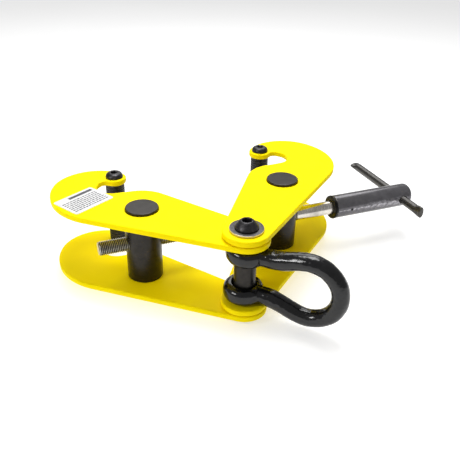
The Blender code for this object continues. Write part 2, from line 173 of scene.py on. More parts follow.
# The points of one thread are (share of the pitch, depth).
THREAD_SHAPE = ((0.0, 0), (0.12, 0), (0.50, THREAD_DEPTH), (0.62, THREAD_DEPTH))
THREAD_SPARE_TURNS = 2
NECK_CORE_R = 0.002
NECK_OVERLAP = 0.001
SHANK_CORE_R = 0.005
SHANK_START_RIM = 0.0006
SHANK_END_RIM = 0.0008
SHANK_R = 0.0086
RELIEF_HALF = 0.008
RELIEF_R = 0.0063
SHANK_START = 0.107
HANDLE_PIN_X = 0.1822
HANDLE_PIN_R = 0.0015
HANDLE_PIN_RIM = 0.0004
HANDLE_PIN_RECESS = 0.0009
HOLE_REACH = 0.02
SLEEVE_START_RIM = 0.0007
SLEEVE_START_LAND = 0.003
SLEEVE_END_FILLET = 0.007
SLEEVE_END_LAND = 0.002
SLEEVE_BORE_START = 0.01
SLEEVE_BORE_END = 0.001
BAR_MOUTH = 0.0014
BAR_MOUTH_INSET = 0.0012
BAR_MOUTH_SHARES = (0.80, 1.03)
# Rims of the thrust washer, at its left face and its right face.
RING_HOLE_RIMS = (0.0008, 0.0004)
RING_OUTER_RIMS = (0.0011, 0.0007)
BAR_R = 0.0056
BAR_END_LENGTH = 0.012
BAR_END_THIN = 0.6
BAR_END_WIDE = 1.35
BAR_END_SLOPE = 0.55
BAR_EDGE = 0.0012
BAR_LAND_SHARE = 1.8
HAMMER_HEIGHT = 0.00022
HAMMER_SCALE = 420

# Shackle, in its own plane: s away from the pin, w up from the middle
SHACKLE_ANGLE = math.radians(-46.5)
SHACKLE_DROOP = math.radians(2.3)
SHACKLE_LIFT = 0.0009
EAR_W = 0.0243
EAR_R = 0.0225
EAR_T = 0.020
EAR_FILLET = 0.0085
EAR_HOLE_R = 0.0138
BOW_R = 0.034
BOW_S = 0.0712
LEG_START_S = 0.028
SHACKLE_R = 0.0096
LEG_EXTRA_R = 0.0008
SHACKLE_VOXEL = 0.0007
EAR_CORE_R = 0.004
EAR_BORE_REACH = 0.06
# The countersinks of the eyes, outside and inside the surface, as (across, along the pin).
EAR_MOUTH = (0.0012, 0.0006)
EAR_MOUTH_INSET = (0.0010, 0.0016)
SMOOTH_FACTOR = 0.5
SMOOTH_PASSES = 22
BROAD_HEIGHT = 0.00040
BROAD_SCALE = 75
DENT_HEIGHT = 0.00016
DENT_SCALE = 260
DENT_SHIFT = Vector((5, 3, 1))

# Label
LABEL_SIZE = (0.054, 0.041)
LABEL_TURN = math.radians(30.5)
LABEL_CORNER_R = 0.003
LABEL_EDGE_R = 0.00006
PRINT_T = 0.00003
PRINT_MARGIN = 0.0035
PRINT_BAR_START = -0.35
PRINT_BAR_HEIGHT = 0.0048
PRINT_HEIGHT = 0.0016
PRINT_PITCH = 0.0037
DASH_SHORTEST = 0.8
DASH_SPREAD = 3.2
DASH_GAP = 0.5
DASH_STEP = 900
DASH_ROW_STEP = 3.7
DASH_SHIFT = 0.5

# Stage. A light is (name, place, (width, height), watts).
FLOOR_SIZE = 12
FLOOR_PARTS = 8
WORLD_STRENGTH = 0.34
LIGHT_TARGET = Vector((0.02, 0.05, 0.05))
LIGHTS = (
    ("overhead_softbox", Vector((0.05, 0.25, 1.15)), (0.6, 0.5), 10),
    ("left_softbox", Vector((-1.1, -0.2, 0.75)), (0.35, 0.25), 5),
    ("back_softbox", Vector((0.45, 1.05, 1.1)), (1.3, 0.7), 9),
)

# Camera
CAMERA_PLACE = Vector((-0.2132, -0.4732, 0.4079))
CAMERA_AZIMUTH = math.radians(-22.37)
CAMERA_ELEVATION = math.radians(30.43)
CAMERA_ROLL = math.radians(1.40)
CAMERA_LENS_MM = 45.95
CAMERA_SENSOR_MM = 36
CAMERA_CLIP_START = 0.01

ALONG_X = Matrix.Rotation(QUARTER, 4, "Y")
ALONG_Y = Matrix.Rotation(-QUARTER, 4, "X")


# Places, from the frame

def low(node):
    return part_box(node)[0]


def high(node):
    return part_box(node)[1]


def middle(node):
    return (low(node) + high(node)) / 2


# Meshes

def finished(bm, matrix=None):
    if matrix:
        bm.transform(matrix)
    bmesh.ops.recalc_face_normals(bm, faces=bm.faces)
    mesh = bpy.data.meshes.new("mesh")
    bm.to_mesh(mesh)
    bm.free()
    return mesh


def rounded(corners, steps=CORNER_STEPS):
    """Points along a line through (x, y, radius) corners, each one rounded by its radius."""
    points = [Vector(corners[0][:2])]
    for before, corner, after in zip(corners, corners[1:], corners[2:]):
        here = Vector(corner[:2])
        if not corner[2]:
            points.append(here)
            continue
        back = (Vector(before[:2]) - here).normalized()
        ahead = (Vector(after[:2]) - here).normalized()
        half = back.angle(ahead) / 2
        centre = here + (back + ahead).normalized() * (corner[2] / math.sin(half))
        reach = corner[2] / math.tan(half)
        start = angle_of(here + back * reach - centre)
        turn = angle_of(here + ahead * reach - centre) - start
        turn = (turn + math.pi) % FULL - math.pi
        points += arc(centre, corner[2], start, start + turn, turn / steps)
    points.append(Vector(corners[-1][:2]))
    return points


def turned(profile, matrix=None, sides=SMOOTH_SIDES, ring=False):
    """A solid of revolution about Z from (radius, z) points.

    A ring's profile is closed. Without ring, both ends are flat faces.
    """
    bm = bmesh.new()
    rings = []
    for radius, z in profile:
        angles = [FULL * k / sides for k in range(sides)]
        rings.append([bm.verts.new((radius * math.cos(a), radius * math.sin(a), z)) for a in angles])
    pairs = list(zip(rings, rings[1:]))
    if ring:
        pairs.append((rings[-1], rings[0]))
    for first, second in pairs:
        for k in range(sides):
            n = (k + 1) % sides
            bm.faces.new((first[k], first[n], second[n], second[k]))
    if not ring:
        bm.faces.new(rings[0])
        bm.faces.new(rings[-1])
    return finished(bm, matrix)


def cutter(radius, start, end, matrix=None, sides=SMOOTH_SIDES):
    """A plain cylinder along Z, to cut a hole with."""
    return turned([(radius, start), (radius, end)], matrix, sides)


def capped_rod(radius, start, end, edge, matrix=None, sides=SMOOTH_SIDES):
    """A rod along Z with rounded rims and a flat land inside each rim."""
    land = radius - 2 * edge
    corners = [(land, start, 0), (radius, start, edge), (radius, end, edge), (land, end, 0)]
    return turned(rounded(corners), matrix, sides)


def plate_solid(loops, bottom, top, edge_r, steps=PLATE_EDGE_STEPS):
    """A plate between two heights, with rounded rims.

    The first loop is its outline, anticlockwise, and the others are its holes, clockwise.
    """
    bm = bmesh.new()
    profile = [(-2 * edge_r, bottom)]
    for k in range(steps + 1):
        angle = QUARTER * k / steps
        profile.append((-edge_r + edge_r * math.sin(angle), bottom + edge_r - edge_r * math.cos(angle)))
    profile += [(offset, top + bottom - z) for offset, z in reversed(profile)]
    rims = {bottom: [], top: []}
    for loop in loops:
        outward = outward_normals(loop)
        rings = []
        for offset, z in profile:
            rings.append([bm.verts.new((*(p + n * offset), z)) for p, n in zip(loop, outward)])
        for first, second in zip(rings, rings[1:]):
            for k in range(len(loop)):
                n = (k + 1) % len(loop)
                bm.faces.new((first[k], first[n], second[n], second[k]))
        for z, ring in ((bottom, rings[0]), (top, rings[-1])):
            rims[z] += [bm.edges.get((ring[k - 1], ring[k])) for k in range(len(ring))]
    for z, edges in rims.items():
        bmesh.ops.triangle_fill(bm, use_beauty=True, use_dissolve=False, edges=edges)
    return finished(bm)


def outward_normals(loop):
    """The unit normal at each point of a closed loop, to the right of its direction."""
    normals = []
    for k in range(len(loop)):
        along = (loop[(k + 1) % len(loop)] - loop[k - 1]).normalized()
        normals.append(Vector((along.y, -along.x)))
    return normals


def evaluated_mesh(obj):
    """The object's mesh with its modifiers applied. The object itself is removed."""
    graph = bpy.context.evaluated_depsgraph_get()
    mesh = bpy.data.meshes.new_from_object(obj.evaluated_get(graph))
    bpy.data.objects.remove(obj, do_unlink=True)
    return mesh


def helper(mesh):
    obj = bpy.data.objects.new("helper", mesh)
    bpy.context.scene.collection.objects.link(obj)
    return obj


def cut(mesh, *tools):
    """The mesh with each tool mesh taken away from it."""
    obj = helper(mesh)
    helpers = [helper(tool) for tool in tools]
    for tool in helpers:
        modifier = obj.modifiers.new("cut", "BOOLEAN")
        modifier.operation = "DIFFERENCE"
        modifier.solver = "EXACT"
        modifier.object = tool
    bpy.context.view_layer.update()
    result = evaluated_mesh(obj)
    for tool in helpers:
        bpy.data.objects.remove(tool, do_unlink=True)
    return result


def piece(name, mesh, finish, body, slot, *nodes):
    """A named piece of the object, which moves with a body and stands for some CAD nodes."""
    mesh.name = name
    mesh.materials.clear()
    mesh.materials.append(finish)
    mesh.shade_smooth()
    mesh.set_sharp_from_angle(angle=SHARP_ANGLE)
    obj = bpy.data.objects.new(name, mesh)
    bpy.context.scene.collection.objects.link(obj)
    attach(obj, body)
    if nodes:
        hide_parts(*nodes)
    return obj


# Plane geometry

def arc(centre, radius, start, end, step=ARC_STEP):
    """Points of an arc from one angle to another, about one for each step."""
    steps = max(2, math.ceil(abs((end - start) / step) - ROUND_OFF))
    angles = [start + (end - start) * k / steps for k in range(steps + 1)]
    return [Vector((centre[0] + radius * math.cos(a), centre[1] + radius * math.sin(a))) for a in angles]


def circle(centre, radius, clockwise):
    end = -FULL if clockwise else FULL
    return arc(centre, radius, 0, end, HOLE_STEP)[:-1]


def angle_of(vector):
    return math.atan2(vector[1], vector[0])


def eased(share):
    """A share from 0 to 1, made slow at both ends."""
    return share * share * (3 - 2 * share)


def where_circles_meet(first, first_r, second, second_r):
    """The meeting point on the right of the line from the first centre to the second."""
    between = second - first
    distance = between.length
    along = (first_r**2 - second_r**2 + distance**2) / (2 * distance)
    aside = math.sqrt(first_r**2 - along**2)
    ahead = between / distance
    return first + ahead * along + Vector((ahead.y, -ahead.x)) * aside


def jaw_outline(tip):
    """The hooked jaw plate: a tapered arm, a round heel and crown, and a finger over the flange slot."""
    inner = QUARTER + PLATE_TAPER
    outer = -inner
    heel_r = PIVOT_END_R - Vector((math.cos(outer), math.sin(outer))).dot(HEEL)
    shoulder_r = PIVOT_END_R - Vector((math.cos(inner), math.sin(inner))).dot(SHOULDER)
    crown = where_circles_meet(HEEL, heel_r - CROWN_R, tip, CROWN_R - FINGER_R)
    pocket = where_circles_meet(SLOT, SLOT_R - POCKET_R, tip, FINGER_R + POCKET_R)
    between = SLOT - SHOULDER
    ramp = angle_of(between) + math.acos((shoulder_r + SLOT_R) / between.length)
    heel_end = angle_of(crown - HEEL)
    crown_end = angle_of(tip - crown)
    finger_end = angle_of(pocket - tip) + FULL
    pocket_end = angle_of(pocket - SLOT)
    outline = arc((0, 0), PIVOT_END_R, inner, outer + FULL)
    outline += arc(HEEL, heel_r, outer, heel_end)
    outline += arc(crown, CROWN_R, heel_end, crown_end)[1:]
    outline += arc(tip, FINGER_R, crown_end, finger_end)[1:]
    outline += arc(pocket, POCKET_R, finger_end - math.pi, pocket_end)[1:]
    outline += arc(SLOT, SLOT_R, pocket_end, ramp - math.pi)[1:]
    outline += arc(SHOULDER, shoulder_r, ramp, inner)
    return outline


# Materials

class Finish:
    """A material under construction, with textures in the object's own coordinates."""

    def __init__(self, name, color, roughness, metallic=0.0, **sockets):
        self.material = bpy.data.materials.new(name)
        self.material.use_nodes = True
        self.material.diffuse_color = (*color, 1)
        self.tree = self.material.node_tree
        self.shader = self.tree.nodes["Principled BSDF"]
        self.coordinates = self.tree.nodes.new("ShaderNodeTexCoord")
        self.set("Base Color", (*color, 1))
        self.set("Roughness", roughness)
        self.set("Metallic", metallic)
        for socket, value in sockets.items():
            self.set(socket.replace("_", " "), value)

    def set(self, socket, value):
        self.shader.inputs[socket].default_value = value

    def link(self, output, socket):
        self.tree.links.new(output, self.shader.inputs[socket])

    def place(self, stretch=(1, 1, 1)):
        """Object coordinates, stretched along each axis."""
        made = self.tree.nodes.new("ShaderNodeMapping")
        made.inputs["Scale"].default_value = stretch
        self.tree.links.new(self.coordinates.outputs["Object"], made.inputs["Vector"])
        return made.outputs["Vector"]

    def noise(self, scale, detail=3.0, rough=0.5, stretch=(1, 1, 1)):
        made = self.tree.nodes.new("ShaderNodeTexNoise")
        made.inputs["Scale"].default_value = scale
        made.inputs["Detail"].default_value = detail
        made.inputs["Roughness"].default_value = rough
        self.tree.links.new(self.place(stretch), made.inputs["Vector"])
        return made.outputs["Fac"]

    def cells(self, scale):
        made = self.tree.nodes.new("ShaderNodeTexVoronoi")
        made.inputs["Scale"].default_value = scale
        self.tree.links.new(self.place(), made.inputs["Vector"])
        return made.outputs["Distance"]

    def edges(self, start, end):
        """0 on flat faces, up to 1 where the surface is sharply convex."""
        shape = self.tree.nodes.new("ShaderNodeNewGeometry")
        return self.spread(shape.outputs["Pointiness"], 0, 1, start, end)

    def spread(self, value, to_low, to_high, from_low=0.0, from_high=1.0):
        made = self.tree.nodes.new("ShaderNodeMapRange")
        made.inputs["From Min"].default_value = from_low
        made.inputs["From Max"].default_value = from_high
        made.inputs["To Min"].default_value = to_low
        made.inputs["To Max"].default_value = to_high
        self.tree.links.new(value, made.inputs["Value"])
        return made.outputs["Result"]

    def math(self, operation, first, second):
        made = self.tree.nodes.new("ShaderNodeMath")
        made.operation = operation
        for socket, value in zip(made.inputs, (first, second)):
            if isinstance(value, (int, float)):
                socket.default_value = value
            else:
                self.tree.links.new(value, socket)
        return made.outputs["Value"]

    def ramp(self, value, *stops):
        """A colour for a value, from (position, colour) stops."""
        made = self.tree.nodes.new("ShaderNodeValToRGB")
        while len(made.color_ramp.elements) < len(stops):
            made.color_ramp.elements.new(0.5)
        for element, (position, color) in zip(made.color_ramp.elements, stops):
            element.position = position
            element.color = (*color, 1)
        self.tree.links.new(value, made.inputs["Fac"])
        return made.outputs["Color"]

    def mix(self, share, first, second):
        """The first colour, and the second by the share."""
        made = self.tree.nodes.new("ShaderNodeMix")
        made.data_type = "RGBA"
        self.tree.links.new(share, made.inputs["Factor"])
        for socket, value in ((made.inputs[6], first), (made.inputs[7], second)):
            if isinstance(value, tuple):
                socket.default_value = (*value, 1)
            else:
                self.tree.links.new(value, socket)
        return made.outputs[2]

    def bump(self, height, distance, strength=1.0, below=None):
        made = self.tree.nodes.new("ShaderNodeBump")
        made.inputs["Distance"].default_value = distance
        made.inputs["Strength"].default_value = strength
        self.tree.links.new(height, made.inputs["Height"])
        if below:
            self.tree.links.new(below, made.inputs["Normal"])
        return made.outputs["Normal"]


def yellow_paint():
    """Powder coat: faint orange peel, slow changes of tone, and deeper rims: partly thinned paint, partly
    painted shade.
    """
    made = Finish("yellow_powder_coat", (0.94, 0.80, 0.001), 0.42, Specular_IOR_Level=0.3, IOR=1.12)
    shade = made.ramp(made.noise(14, 4), (0.35, (0.95, 0.75, 0.001)), (0.62, (0.98, 0.80, 0.001)))
    patches = made.spread(made.noise(160, 4), 0.0, 0.8, 0.35, 0.65)
    # Deeper orange on the convex rims, in patches: partly thinned paint, partly painted shade of the plate
    # edges.
    thin = made.math("MULTIPLY", made.edges(0.52, 0.62), patches)
    made.link(made.mix(thin, shade, (0.76, 0.46, 0.002)), "Base Color")
    made.link(made.spread(made.noise(45, 4), 0.34, 0.50), "Roughness")
    fine = made.bump(made.noise(900, 2), 0.00006, 0.35)
    made.link(made.bump(made.noise(150, 2), 0.00025, 0.3, fine), "Normal")
    return made.material


def dark_steel(name, color, roughness, stretch, grain=0.5, metallic=0.85):
    """Hot-rolled or blued steel, turned on a lathe: fine marks round the axis, mottled scale, and paler
    rims: partly rubbed wear, partly painted highlight.
    """
    made = Finish(name, color, roughness, metallic)
    darker = tuple(0.80 * c for c in color)
    paler = tuple(1.25 * c for c in color)
    mottle = made.ramp(made.noise(110, 6, 0.62), (0.30, darker), (0.52, color), (0.74, paler))
    marks = made.noise(1, 2, 0.5, stretch)
    patches = made.spread(made.noise(240, 4), 0.0, 0.9, 0.38, 0.62)
    # Paler convex rims in patches: partly rubbed wear, partly a painted rim highlight.
    worn = made.math("MULTIPLY", made.edges(0.53, 0.64), patches)
    made.link(made.mix(worn, mottle, tuple(min(1, 4.5 * c) for c in color)), "Base Color")
    made.link(made.spread(marks, roughness - 0.03, roughness + 0.04, 0.3, 0.7), "Roughness")
    scale = made.bump(made.noise(420, 4), 0.00005, 0.15)
    made.link(made.bump(marks, 0.00002, grain, scale), "Normal")
    return made.material


def bare_steel(name, color, roughness, stretch):
    """Ground bright steel: fine turning marks, faint stains and hairline scratches along it."""
    made = Finish(name, color, roughness, 1.0)
    marks = made.noise(1, 3, 0.6, stretch)
    stains = made.ramp(made.noise(55, 5, 0.6), (0.30, tuple(0.62 * c for c in color)), (0.60, color))
    made.link(stains, "Base Color")
    made.link(made.spread(marks, roughness - 0.08, roughness + 0.14, 0.3, 0.7), "Roughness")
    made.link(made.bump(marks, 0.00002, 0.15), "Normal")
    return made.material


def thread_steel():
    """A cut thread: dark in its roots and flanks, and pale on its crests: partly rubbed metal, partly a
    painted highlight.
    """
    made = Finish("thread_steel", (0.14, 0.135, 0.13), 0.34, 0.95)
    # Pale crests: partly rubbed metal, partly a painted highlight.
    crest = made.edges(0.48, 0.58)
    grime = made.ramp(made.noise(160, 5), (0.32, (0.050, 0.046, 0.040)), (0.66, (0.14, 0.135, 0.12)))
    made.link(made.mix(crest, grime, (0.80, 0.77, 0.68)), "Base Color")
    made.link(made.spread(made.noise(300, 4), 0.24, 0.50), "Roughness")
    made.link(made.bump(made.noise(900, 3), 0.00006, 0.4), "Normal")
    return made.material


def black_oxide(name="black_oxide", color=(0.030, 0.029, 0.031)):
    """Blackened fasteners: oily, slightly uneven, and rubbed bright on corners."""
    made = Finish(name, color, 0.38, 0.75)
    darker = tuple(0.6 * c for c in color)
    paler = tuple(1.8 * c for c in color)
    shade = made.ramp(made.noise(260, 5), (0.3, darker), (0.7, paler))
    patches = made.spread(made.noise(500, 4), 0.0, 0.7, 0.42, 0.62)
    rub = made.math("MULTIPLY", made.edges(0.54, 0.66), patches)
    made.link(made.mix(rub, shade, (0.28, 0.27, 0.26)), "Base Color")
    made.link(made.spread(made.noise(380, 4), 0.26, 0.50), "Roughness")
    made.link(made.bump(made.noise(700, 4), 0.00008, 0.4), "Normal")
    return made.material


def forged_black():
    """Glossy black paint over a forging: it follows the hammer scale and has a few dull patches."""
    made = Finish("forged_black_paint", (0.003, 0.003, 0.004), 0.15, IOR=1.48)
    dust = made.ramp(made.noise(70, 6, 0.6), (0.42, (0.002, 0.002, 0.0025)), (0.80, (0.010, 0.010, 0.011)))
    made.link(dust, "Base Color")
    made.link(made.spread(made.noise(90, 5), 0.08, 0.24, 0.3, 0.75), "Roughness")
    pits = made.bump(made.cells(420), 0.0001, 0.3)
    made.link(made.bump(made.noise(210, 4, 0.55), 0.0004, 0.5, pits), "Normal")
    return made.material


def washer_steel():
    """A flat washer, blackened on its faces and bare on its rim."""
    made = Finish("washer_steel", (0.06, 0.058, 0.060), 0.36, 0.9)
    place = made.tree.nodes.new("ShaderNodeSeparateXYZ")
    made.tree.links.new(made.place(), place.inputs["Vector"])
    squares = [made.math("MULTIPLY", place.outputs[k], place.outputs[k]) for k in (0, 1)]
    from_axis = made.math("SQRT", made.math("ADD", *squares), 0)
    outer = high("pivot_washer").x
    rim = made.spread(from_axis, 0, 1, outer - 0.00045, outer - 0.0001)
    faces = made.ramp(made.noise(300, 5), (0.3, (0.035, 0.034, 0.036)), (0.7, (0.10, 0.098, 0.10)))
    made.link(made.mix(rim, faces, (0.62, 0.55, 0.50)), "Base Color")
    made.link(made.spread(made.noise(260, 4), 0.24, 0.46), "Roughness")
    made.link(made.bump(made.noise(600, 3), 0.00006, 0.4), "Normal")
    return made.material


def label_paper():
    """White film: slightly smudged, with a satin surface."""
    made = Finish("label_white", (0.70, 0.70, 0.70), 0.42, Specular_IOR_Level=0.2)
    smudge = made.ramp(made.noise(120, 4), (0.3, (0.64, 0.64, 0.64)), (0.6, (0.71, 0.71, 0.71)))
    made.link(smudge, "Base Color")
    made.link(made.spread(made.noise(90, 3), 0.34, 0.50), "Roughness")
    made.link(made.bump(made.noise(500, 3), 0.00004, 0.3), "Normal")
    return made.material


def label_ink():
    """Dark print, worn thin in places."""
    made = Finish("label_ink", (0.03, 0.03, 0.035), 0.5)
    worn = made.ramp(made.noise(700, 4), (0.40, (0.02, 0.02, 0.025)), (0.72, (0.16, 0.16, 0.17)))
    made.link(worn, "Base Color")
    made.link(made.spread(made.noise(200, 3), 0.40, 0.60), "Roughness")
    return made.material


def floor_finish():
    """A pale floor that glows a little, so that it stays light away from the lamps."""
    glow = {"Emission_Color": (1, 1, 1, 1), "Emission_Strength": 0.52}
    made = Finish("pale_floor", (0.64, 0.64, 0.64), 0.7, **glow)
    shade = made.ramp(made.noise(3, 3), (0.3, (0.63, 0.63, 0.63)), (0.7, (0.66, 0.66, 0.66)))
    made.link(shade, "Base Color")
    made.link(made.bump(made.noise(400, 3), 0.0002, 0.2), "Normal")
    return made.material


# Jaws

def jaw_plate(side_name, level, finish):
    """A jaw's plate, with its outline laid along the line from the pivot to that jaw's trunnion."""
    node = f"{side_name}_{level}_plate"
    trunnion = (middle(f"{side_name}_trunnion") - middle("pivot_pin")).xy
    along = trunnion.normalized()
    side = 1 if along.x > 0 else -1
    across = Vector((-along.y, along.x)) * side
    tip = (middle(f"{side_name}_tip_rod") - middle("pivot_pin")).xy
    tip_uv = Vector((tip.dot(along), tip.dot(across)))
    outline = [along * p.x + across * p.y for p in jaw_outline(tip_uv)]
    if side < 0:
        outline.reverse()
    holes = [
        circle((0, 0), PIN_R + CLEARANCE, True),
        circle(trunnion, JOURNAL_R + CLEARANCE, True),
        circle(tip, TIP_SCREW["thread_r"] + CLEARANCE, True),
    ]
    mesh = plate_solid([outline, *holes], low(node).z, high(node).z, PLATE_EDGE_R)
    piece(f"{node}_painted", mesh, finish, f"{side_name}_jaw", "yellow_paint", node)


def trunnion(side_name, finish):
    """A jaw's round cross bar, with narrower journals in its plates and a bore for the spindle."""
    node = f"{side_name}_trunnion"
    centre = middle(node)
    bottom = low(node).z
    top = high(node).z
    lower_seat = high(f"{side_name}_lower_plate").z + CLEARANCE
    upper_seat = low(f"{side_name}_upper_plate").z - CLEARANCE
    corners = [
        (JOURNAL_R - 2 * TRUNNION_RIM, bottom, 0),
        (JOURNAL_R, bottom, TRUNNION_RIM),
        (JOURNAL_R, lower_seat, 0),
        (TRUNNION_R, lower_seat, TRUNNION_EDGE),
        (TRUNNION_R, upper_seat, TRUNNION_EDGE),
        (JOURNAL_R, upper_seat, 0),
        (JOURNAL_R, top, TRUNNION_RIM),
        (JOURNAL_R - 2 * TRUNNION_RIM, top, 0),
    ]
    spindle_z = middle("spindle").z
    to_spindle = Matrix.Translation((0, 0, spindle_z)) @ ALONG_X
    bore_r = THREAD_R + CLEARANCE
    bore = cutter(bore_r, -TRUNNION_BORE_REACH, TRUNNION_BORE_REACH, to_spindle, BORE_SIDES)
    inner, outer = TRUNNION_MOUTH_SHARES
    cones = []
    for end in (-1, 1):
        reach = end * TRUNNION_R
        narrow = (bore_r - TRUNNION_MOUTH_INSET, reach * inner)
        wide = (bore_r + TRUNNION_MOUTH, reach * outer)
        cones.append(turned([narrow, wide], to_spindle, BORE_SIDES))
    body = cut(turned(rounded(corners)), bore, *cones)
    body.transform(Matrix.Translation((centre.x, centre.y, 0)))
    piece(f"{node}_turned", body, finish, f"{side_name}_block", "dark_steel", node)


def tip_rod(side_name, finish):
    """The rod between a jaw's fingers, with fine grooves all the way up."""
    node = f"{side_name}_tip_rod"
    start = low(node).z
    end = high(node).z
    first = start + ROD_PLAIN
    land = TIP_ROD_R - 2 * ROD_RIM
    profile = rounded([(land, start, 0), (TIP_ROD_R, start, ROD_RIM), (TIP_ROD_R, first, 0)])
    count = int((end - start - 2 * ROD_PLAIN) / RING_PITCH)
    pitch = (end - start - 2 * ROD_PLAIN) / count
    for k in range(count):
        for share, depth in ROD_GROOVE:
            profile.append(Vector((TIP_ROD_R - depth, first + (k + share) * pitch)))
    profile += rounded([(TIP_ROD_R, end - ROD_PLAIN, 0), (TIP_ROD_R, end, ROD_RIM), (land, end, 0)])
    centre = middle(node)
    mesh = turned(profile, Matrix.Translation((centre.x, centre.y, 0)), ROD_SIDES)
    piece(f"{node}_grooved", mesh, finish, f"{side_name}_jaw", "black_oxide", node)


def button_screw(node, size, body, finish, upward, turn):
    """A socket button-head screw. Its head points up or down, and its socket is turned by an angle."""
    head_r = size["head_r"]
    head_h = size["head_h"]
    crown_r = size["crown_r"]
    thread_r = size["thread_r"]
    rim = SCREW_RIM_SHARE * head_h
    shank = high(node).z - low(node).z - head_h
    dome = []
    for k in range(DOME_STEPS + 1):
        angle = QUARTER * k / DOME_STEPS
        out = math.cos(angle) ** size["slope"]
        up = math.sin(angle) ** size["slope"]
        dome.append((crown_r + (head_r - crown_r) * out, rim + (head_h - rim) * up))
    profile = [(thread_r - SCREW_END_CHAMFER, -shank), (thread_r, SCREW_END_CHAMFER - shank), (thread_r, 0)]
    profile += [(head_r - SCREW_EDGE, 0), (head_r, SCREW_EDGE), *dome, (crown_r - SCREW_EDGE, head_h)]
    socket_r = size["socket"] / math.sqrt(3)
    floor_z = SOCKET_FLOOR_SHARE * head_h
    turned_z = Matrix.Rotation(turn, 4, "Z")
    socket = cutter(socket_r, floor_z, SOCKET_TOP_SHARE * head_h, turned_z, HEX_SIDES)
    drill_tip = (DRILL_TIP_R, floor_z - DRILL_DEPTH_SHARE * socket_r)
    drill_top = (DRILL_WIDTH_SHARE * socket_r, floor_z + DRILL_OVERLAP)
    drill = turned([drill_tip, drill_top], None, DRILL_SIDES)
    mouth_r = socket_r + SOCKET_MOUTH
    mouth_low = (mouth_r - SOCKET_MOUTH_DEPTH, head_h - SOCKET_MOUTH_DEPTH)
    mouth_top = (mouth_r + SOCKET_MOUTH, head_h + SOCKET_MOUTH)
    mouth = turned([mouth_low, mouth_top], None, DRILL_SIDES)
    mesh = cut(turned(profile), socket, drill, mouth)
    place = middle(node)
    flip = Matrix.Identity(4)
    seat = high(node).z - head_h
    if not upward:
        flip = Matrix.Rotation(math.pi, 4, "X")
        seat = low(node).z + head_h
    mesh.transform(Matrix.Translation((place.x, place.y, seat)) @ flip)
    piece(f"{node}_head", mesh, finish, body, "black_oxide", node)


# Pivot

def pivot(pin_finish, washer_finish):
    """The pin through all four plates, with its flat head below, and the washer on top."""
    base = low("pivot_pin").z
    pin_top = high("pivot_pin").z
    head_top = low("left_lower_plate").z - CLEARANCE
    head_r = high("pivot_pin").x
    corners = [
        (head_r - PIN_LAND, base, 0),
        (head_r, base, PIN_HEAD_RIM),
        (head_r, head_top, PIN_SHOULDER_RIM),
        (PIN_R, head_top, 0),
        (PIN_R, pin_top, PIN_TOP_RIM),
        (PIN_R - PIN_LAND, pin_top, 0),
    ]
    piece("pivot_pin_turned", turned(rounded(corners)), pin_finish, "pivot", "dark_steel", "pivot_pin")
    bottom = low("pivot_washer").z
    top = high("pivot_washer").z
    outer = high("pivot_washer").x
    section = [
        (outer - WASHER_LAND, bottom, 0),
        (outer, bottom, WASHER_RIM),
        (outer, top, WASHER_RIM),
        (WASHER_HOLE_R, top, WASHER_HOLE_RIM),
        (WASHER_HOLE_R, bottom, WASHER_HOLE_RIM),
        (outer - WASHER_LAND, bottom, 0),
    ]
    mesh = turned(rounded(section)[:-1], ring=True)
    piece("pivot_washer_stamped", mesh, washer_finish, "pivot", "black_oxide", "pivot_washer")


# Shackle

def shackle_path():
    """The bow's centre line: a leg that flares out of an ear, the round bow, and the other leg."""
    leg = [Vector((0, EAR_W))]
    for k in range(LEG_STEPS):
        t = k / LEG_STEPS
        away = LEG_START_S + (BOW_S - LEG_START_S) * t
        leg.append(Vector((away, EAR_W + (BOW_R - EAR_W) * eased(t))))
    bow = arc((BOW_S, 0), BOW_R, QUARTER, -QUARTER)
    return leg + bow + [Vector((p.x, -p.y)) for p in reversed(leg)]


def swept(path, sides):
    """The shackle's round bar along a path in the XZ plane, a little thicker near the eyes."""
    bm = bmesh.new()
    rings = []
    for k, here in enumerate(path):
        radius = SHACKLE_R + LEG_EXTRA_R * max(0, 1 - here.x / BOW_S)
        along = (path[min(k + 1, len(path) - 1)] - path[max(k - 1, 0)]).normalized()
        across = Vector((-along.y, along.x))
        ring = []
        for j in range(sides):
            angle = FULL * j / sides
            out = across * (radius * math.cos(angle))
            ring.append(bm.verts.new((here.x + out.x, radius * math.sin(angle), here.y + out.y)))
        rings.append(ring)
    for first, second in zip(rings, rings[1:]):
        for j in range(sides):
            n = (j + 1) % sides
            bm.faces.new((first[j], first[n], second[n], second[j]))
    bm.faces.new(rings[0])
    bm.faces.new(rings[-1])
    return finished(bm)


def joined(meshes):
    """One mesh with the faces of several."""
    bm = bmesh.new()
    for mesh in meshes:
        bm.from_mesh(mesh)
    return finished(bm)


